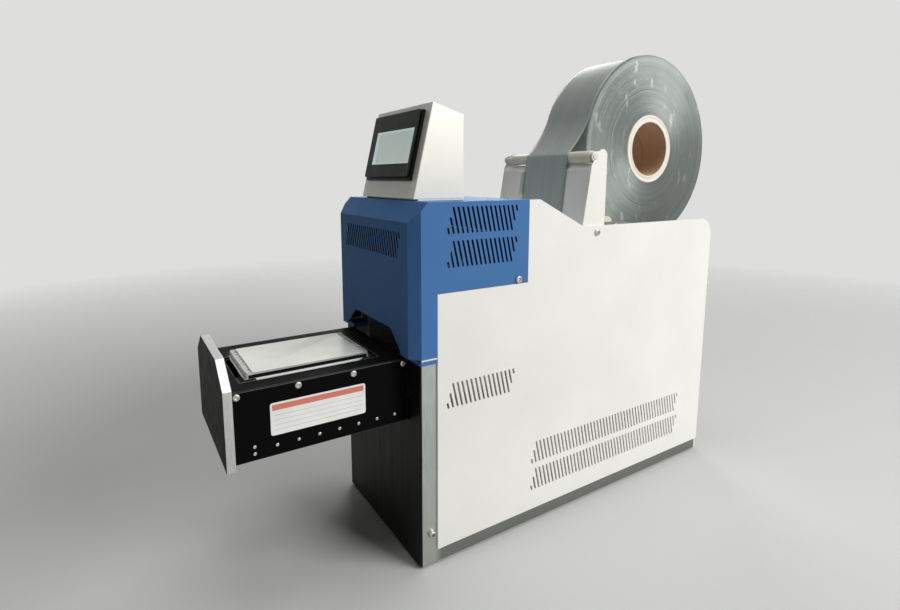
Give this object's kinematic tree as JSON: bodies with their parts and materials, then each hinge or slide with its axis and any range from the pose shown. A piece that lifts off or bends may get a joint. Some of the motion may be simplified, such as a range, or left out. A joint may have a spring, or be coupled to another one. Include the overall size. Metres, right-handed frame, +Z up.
{
  "type": "well plate film sealing machine",
  "caption": "Benchtop machine that draws film off a roll, heat seals it onto a well plate carried in by a sliding drawer, and cuts it off.",
  "frame": {"origin": "centre of the bench bolt pattern on the base plate's underside", "axes": "+X to the machine's right, +Y from the drawer to the film roll at the rear, +Z up"},
  "size_m": [0.2008, 0.7293, 0.5886],
  "materials": {
    "white_paint": "satin powder coat",
    "blue_paint": "satin powder coat",
    "bare_steel": "brushed",
    "dark_paint": "satin paint",
    "black_anodised": "satin black anodised",
    "aluminium": "machined",
    "bright_steel": "polished",
    "black_plastic": "fine moulded",
    "rubber": "matt",
    "white_plastic": "turned",
    "film": "satin, wound in thin layers",
    "card": "wound board",
    "clear_plastic": "clear moulded",
    "screen": "unlit display",
    "circuit_board": "solder mask",
    "insulating_board": "pressed board"
  },
  "bodies": {
    "base": {"rear_panel": "white_paint", "left_side_panel": "white_paint", "right_side_panel": "white_paint", "rear_deck": "white_paint", "display_housing": "white_paint", "film_tower": "white_paint", "film_edge_guide": "white_paint", "top_cover": "blue_paint", "cover_ledge": "blue_paint", "base_plate": "bare_steel", "chassis_left": "bare_steel", "chassis_right": "bare_steel", "cradle_brackets": "bare_steel", "slide_beam": "bare_steel", "column_front": "dark_paint", "press_frame_left": "aluminium", "press_frame_right": "aluminium", "press_bridge": "aluminium", "press_cylinder": "aluminium", "slide_blocks": "aluminium", "drawer_cylinder": "aluminium", "cutter_rail": "aluminium", "power_supply": "aluminium", "panel_screws": "bright_steel", "air_fitting": "bright_steel", "display_bezel": "black_plastic", "feed_motor": "black_plastic", "fan_frame": "black_plastic", "mains_inlet": "black_plastic", "rubber_feet": "rubber", "display_gasket": "rubber", "film_web": "film", "display_screen": "screen", "control_board": "circuit_board"},
    "drawer": {"drawer_left_side": "black_anodised", "drawer_right_side": "black_anodised", "drawer_deck": "black_anodised", "front_plate": "black_anodised", "plate_nest": "black_anodised", "well_plate": "clear_plastic", "plate_seal": "film", "drawer_rails": "bright_steel", "drawer_screws": "bright_steel", "drawer_rod": "bright_steel"},
    "press": {"heater_platen": "aluminium", "insulator_plate": "insulating_board", "press_plate": "bare_steel", "press_posts": "bright_steel", "press_rod": "bright_steel"},
    "film_reel": {"film_roll": "film", "roll_core": "card"},
    "support_roller_front": {"support_roller_front": "white_plastic"},
    "support_roller_rear": {"support_roller_rear": "white_plastic"},
    "guide_roller": {"guide_roller": "white_plastic"},
    "turn_roller": {"turn_roller": "white_plastic"},
    "feed_roller": {"feed_roller": "rubber"},
    "pinch_roller": {"pinch_roller": "rubber"},
    "cutter": {"cutter_carriage": "bare_steel"},
    "fan": {"fan_rotor": "black_plastic"},
    "rocker": {"power_rocker": "black_plastic"}
  },
  "joints": [
    {"name": "drawer_slide", "type": "slide", "parent": "base", "child": "drawer", "axis": [0, 1, 0], "range_m": [0, 0.1755]},
    {"name": "press_slide", "type": "slide", "parent": "base", "child": "press", "axis": [0, 0, -1], "range_m": [0, 0.017], "stiffness_N_per_m": 500, "springref_m": -0.06},
    {"name": "film_reel_spin", "type": "hinge", "parent": "base", "child": "film_reel", "pos_m": [0, 0.17027, 0.4561], "axis": [1, 0, 0], "continuous": true},
    {"name": "support_front_spin", "type": "hinge", "parent": "base", "child": "support_roller_front", "pos_m": [0, 0.08, 0.35], "axis": [1, 0, 0], "continuous": true},
    {"name": "support_rear_spin", "type": "hinge", "parent": "base", "child": "support_roller_rear", "pos_m": [0, 0.225, 0.328], "axis": [1, 0, 0], "continuous": true},
    {"name": "guide_roller_spin", "type": "hinge", "parent": "base", "child": "guide_roller", "pos_m": [0, 0.016, 0.441], "axis": [1, 0, 0], "continuous": true},
    {"name": "turn_roller_spin", "type": "hinge", "parent": "base", "child": "turn_roller", "pos_m": [0, -0.0225, 0.25085], "axis": [1, 0, 0], "continuous": true},
    {"name": "feed_roller_spin", "type": "hinge", "parent": "base", "child": "feed_roller", "pos_m": [0, -0.0545, 0.23445], "axis": [1, 0, 0], "continuous": true},
    {"name": "pinch_roller_spin", "type": "hinge", "parent": "base", "child": "pinch_roller", "pos_m": [0, -0.0545, 0.25335], "axis": [1, 0, 0], "continuous": true},
    {"name": "cutter_slide", "type": "slide", "parent": "base", "child": "cutter", "axis": [1, 0, 0], "range_m": [0, 0.12]},
    {"name": "fan_spin", "type": "hinge", "parent": "base", "child": "fan", "pos_m": [-0.045, 0.2305, 0.09], "axis": [0, 1, 0], "continuous": true},
    {"name": "rocker_tilt", "type": "hinge", "parent": "base", "child": "rocker", "pos_m": [0.05, 0.241, 0.078], "axis": [-1, 0, 0], "range_deg": [0, 16]}
  ],
  "couplings": [
    {"joint": "support_front_spin", "follows": "film_reel_spin", "ratio": -14.444},
    {"joint": "support_rear_spin", "follows": "film_reel_spin", "ratio": -14.444},
    {"joint": "guide_roller_spin", "follows": "film_reel_spin", "ratio": 17.333},
    {"joint": "turn_roller_spin", "follows": "film_reel_spin", "ratio": -17.333},
    {"joint": "feed_roller_spin", "follows": "film_reel_spin", "ratio": 16.25},
    {"joint": "pinch_roller_spin", "follows": "film_reel_spin", "ratio": -13}
  ]
}
